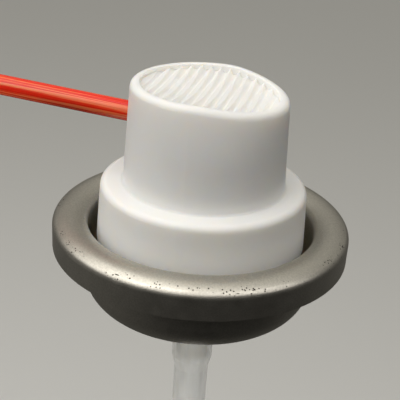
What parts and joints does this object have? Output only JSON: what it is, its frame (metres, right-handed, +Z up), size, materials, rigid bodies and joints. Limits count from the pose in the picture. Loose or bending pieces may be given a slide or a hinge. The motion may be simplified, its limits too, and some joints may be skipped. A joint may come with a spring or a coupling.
{
  "type": "aerosol valve with spray actuator",
  "caption": "One inch aerosol valve: crimp-on mounting cup, sprung stem, dip tube, and a white push-button actuator with a thin red spray tube.",
  "frame": {"origin": "on the valve's axis, in the plane where the cup's gasket rests on the can's rolled bead", "axes": "+Z up along the stem, -Y the way the spray leaves, +X to the right seen from the front"},
  "size_m": [0.0322, 0.1405, 0.1948],
  "materials": {
    "cup_metal": "satin tinned steel with fine turning grain and small scuffs",
    "black_rubber": "matt black",
    "stem_plastic": "smooth natural acetal",
    "spring_steel": "bright drawn wire",
    "housing_plastic": "natural moulded plastic",
    "dip_tube_plastic": "milky translucent polyethylene",
    "white_plastic": "satin white polypropylene",
    "nozzle_plastic": "smooth moulded plastic",
    "red_plastic": "glossy extruded red plastic"
  },
  "bodies": {
    "valve": {"mounting_cup": "cup_metal", "cup_gasket": "black_rubber", "stem_gasket": "black_rubber", "valve_housing": "housing_plastic", "valve_spring": "spring_steel", "dip_tube": "dip_tube_plastic"},
    "stem": {"valve_stem": "stem_plastic"},
    "button": {"actuator": "white_plastic", "nozzle_insert": "nozzle_plastic"},
    "tube": {"extension_tube": "red_plastic"}
  },
  "joints": [
    {"name": "stem_press", "type": "slide", "parent": "valve", "child": "stem", "axis": [0, 0, -1], "range_m": [0, 0.0013], "stiffness_N_per_m": 2500, "springref_m": -0.0048, "deforming": ["valve_spring"]},
    {"name": "actuator_swivel", "type": "hinge", "parent": "stem", "child": "button", "pos_m": [0, 0, 0], "axis": [0, 0, 1], "continuous": true},
    {"name": "tube_pull", "type": "slide", "parent": "button", "child": "tube", "axis": [0, -0.9981, 0.061], "range_m": [0, 0.006]}
  ]
}
